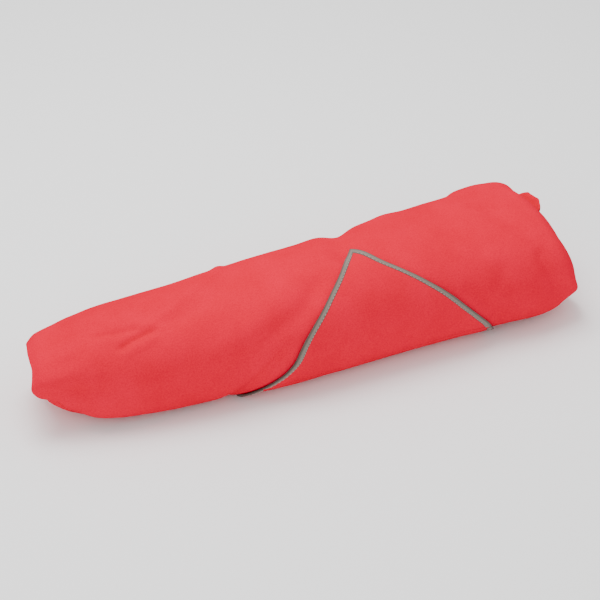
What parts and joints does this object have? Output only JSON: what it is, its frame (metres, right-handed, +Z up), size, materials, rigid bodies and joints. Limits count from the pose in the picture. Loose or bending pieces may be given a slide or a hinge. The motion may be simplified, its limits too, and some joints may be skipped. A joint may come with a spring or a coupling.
{
  "type": "climbing skins",
  "caption": "Folded ski climbing skins rolled in a brushed cloth. The cloth's bound corner lies over the roll and opens, with the cloth under it, to the skins inside.",
  "frame": {"origin": "on the flat underside, at the middle of the bounding box in X and Y", "axes": "+Z up from the surface it lies on, +X along the roll towards its wide end, -Y is the front where the bound corner lies over it"},
  "size_m": [0.466, 0.1469, 0.0946],
  "materials": {
    "wrap_cloth": "brushed, peach-skin nap",
    "binding": "folded woven tape, stitched",
    "skin_plush": "short directional nylon pile",
    "skin_backing": "woven backing with a tacky glue face",
    "glue_saver": "thin open mesh",
    "webbing": "flat woven webbing",
    "steel": "drawn wire, satin",
    "aluminium": "tumbled, satin"
  },
  "bodies": {
    "wrap": {"wrap_base": "wrap_cloth", "left_corner_fold": "wrap_cloth", "right_corner_fold": "wrap_cloth", "skin_1_plush": "skin_plush", "skin_1_backing": "skin_backing", "skin_1_glue_saver": "glue_saver", "skin_1_tip_tab": "webbing", "skin_1_tip_rivets": "steel", "skin_1_tail_strap": "webbing", "skin_1_tail_rivets": "steel", "skin_1_hook_pin": "steel", "skin_2_plush": "skin_plush", "skin_2_backing": "skin_backing", "skin_2_glue_saver": "glue_saver", "skin_2_tip_tab": "webbing", "skin_2_tip_rivets": "steel", "skin_2_tail_strap": "webbing", "skin_2_tail_rivets": "steel", "skin_2_hook_pin": "steel"},
    "lap": {"wrap_lap": "wrap_cloth"},
    "flap": {"corner_flap": "wrap_cloth", "flap_binding_left": "binding", "flap_binding_right": "binding"},
    "flap_tip": {"corner_flap_tip": "wrap_cloth", "tip_binding_left": "binding", "tip_binding_right": "binding"},
    "tip_loop_1": {"skin_1_tip_loop": "steel"},
    "tip_loop_2": {"skin_2_tip_loop": "steel"},
    "tail_hook_1": {"skin_1_tail_hook": "aluminium"},
    "tail_hook_2": {"skin_2_tail_hook": "aluminium"}
  },
  "joints": [
    {"name": "flap_open", "type": "hinge", "parent": "wrap", "child": "flap", "pos_m": [-0.074, -0.06335, 0.012], "axis": [1, -0.0081, 0], "range_deg": [0, 88]},
    {"name": "flap_tip_unfold", "type": "hinge", "parent": "flap", "child": "flap_tip", "pos_m": [-0.0068, -0.06168, 0.07588], "axis": [1, 0.0001, 0.0011], "range_deg": [0, 74.8]},
    {"name": "lap_open", "type": "hinge", "parent": "wrap", "child": "lap", "pos_m": [-0.184, 0.04539, 0.04508], "axis": [-0.9971, -0.0758, 0.0001], "range_deg": [0, 74.8]},
    {"name": "tip_loop_1_swing", "type": "hinge", "parent": "wrap", "child": "tip_loop_1", "pos_m": [0.1723, -0.006, 0.04213], "axis": [0, 1, 0], "range_deg": [-40, 50]},
    {"name": "tip_loop_2_swing", "type": "hinge", "parent": "wrap", "child": "tip_loop_2", "pos_m": [0.17183, -0.006, 0.0744], "axis": [0, 1, 0], "range_deg": [-18, 50]},
    {"name": "tail_hook_1_swing", "type": "hinge", "parent": "wrap", "child": "tail_hook_1", "pos_m": [0.10294, -0.006, 0.03116], "axis": [0, 1, 0], "range_deg": [-10, 15]},
    {"name": "tail_hook_2_swing", "type": "hinge", "parent": "wrap", "child": "tail_hook_2", "pos_m": [0.10269, -0.006, 0.06136], "axis": [0, 1, 0], "range_deg": [-10, 12]}
  ],
  "couplings": [
    {"joint": "lap_open", "follows": "flap_open", "ratio": 0.85},
    {"joint": "flap_tip_unfold", "follows": "flap_open", "ratio": 0.85}
  ]
}
